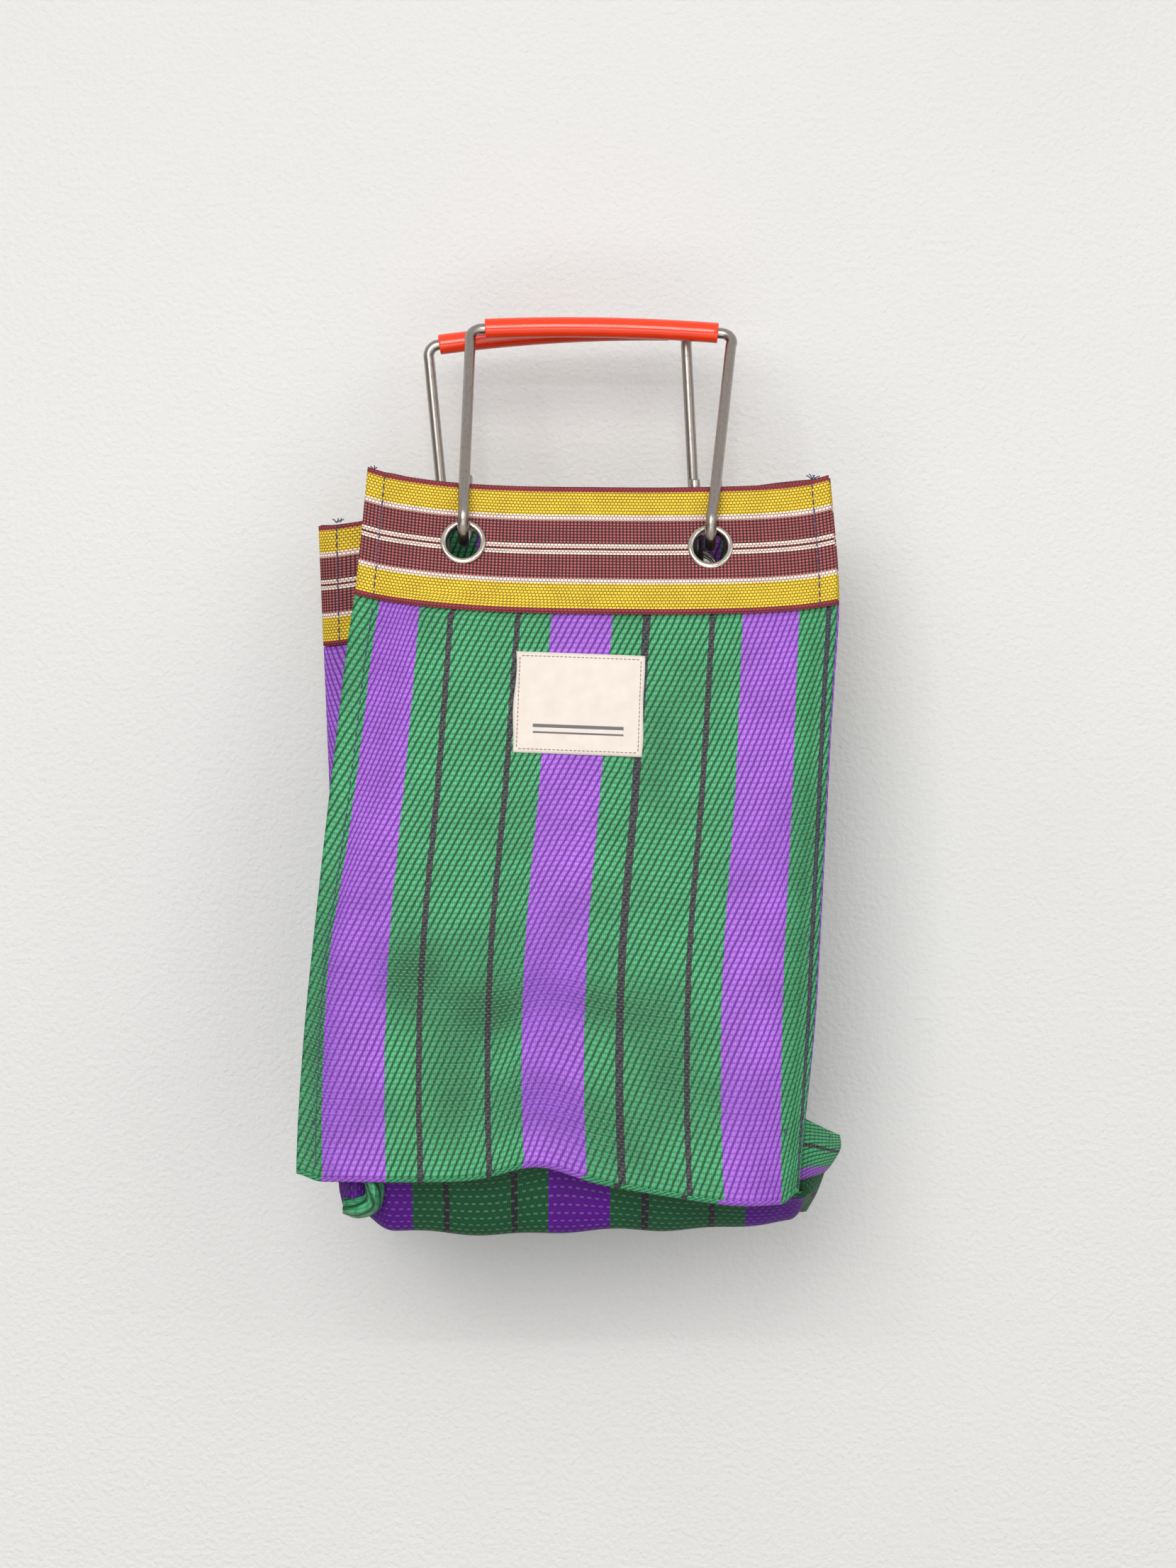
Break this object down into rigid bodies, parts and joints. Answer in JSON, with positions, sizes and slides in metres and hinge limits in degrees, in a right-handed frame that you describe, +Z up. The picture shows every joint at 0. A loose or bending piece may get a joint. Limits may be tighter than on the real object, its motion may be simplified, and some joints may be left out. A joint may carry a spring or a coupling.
{
  "type": "striped market bag with wire handles",
  "caption": "Small striped woven bag with a webbing mouth band, held on metal eyelets by two wire bail handles with soft tube grips, hanging half collapsed.",
  "frame": {"origin": "hanging point under the two hand grips, where a hook, peg or screw carries them", "axes": "+Z up along the hanging bag, -Y out of the front wall, +X to the right as seen from the front"},
  "size_m": [0.2156, 0.1043, 0.3826],
  "materials": {
    "cloth": "steep twill of glossy plastic yarn in upright green, purple and black stripes",
    "webbing": "heavy rib weave, yellow and maroon with thin white lines",
    "hem": "rolled and overlocked edge of the cloth",
    "thread": "dark sewing thread",
    "wire": "bare drawn steel wire",
    "grip": "soft coral-red tube",
    "eyelet": "polished nickel",
    "label": "plain cream cotton"
  },
  "bodies": {
    "bag_body": {"back_panel": "cloth", "back_lining": "cloth", "left_gusset": "cloth", "right_gusset": "cloth", "bottom_panel": "cloth", "back_band": "webbing", "left_gusset_band": "webbing", "right_gusset_band": "webbing", "back_hem": "hem", "back_left_band_thread": "thread", "back_left_panel_thread": "thread", "back_right_band_thread": "thread", "back_right_panel_thread": "thread", "back_left_eyelet": "eyelet", "back_left_washer": "eyelet", "back_right_eyelet": "eyelet", "back_right_washer": "eyelet"},
    "front_wall": {"front_panel": "cloth", "front_lining": "cloth", "front_band": "webbing", "front_hem": "hem", "front_left_band_thread": "thread", "front_left_panel_thread": "thread", "front_right_band_thread": "thread", "front_right_panel_thread": "thread", "front_left_eyelet": "eyelet", "front_left_washer": "eyelet", "front_right_eyelet": "eyelet", "front_right_washer": "eyelet", "label": "label", "label_stitch": "thread"},
    "front_handle": {"front_handle_wire": "wire", "front_grip": "grip"},
    "back_handle": {"back_handle_wire": "wire", "back_grip": "grip"}
  },
  "joints": [
    {"name": "mouth_open", "type": "hinge", "parent": "bag_body", "child": "front_wall", "pos_m": [-0.00747, -0.0865, -0.35089], "axis": [0.999, 0, -0.044], "range_deg": [0, 10]},
    {"name": "front_handle_swing", "type": "hinge", "parent": "front_wall", "child": "front_handle", "pos_m": [0.00833, -0.04852, -0.08891], "axis": [0.9998, 0, -0.0192], "range_deg": [0, 26]},
    {"name": "back_handle_swing", "type": "hinge", "parent": "bag_body", "child": "back_handle", "pos_m": [0.00252, 0.00495, -0.09737], "axis": [-0.9996, 0, -0.0279], "range_deg": [0, 16]}
  ]
}
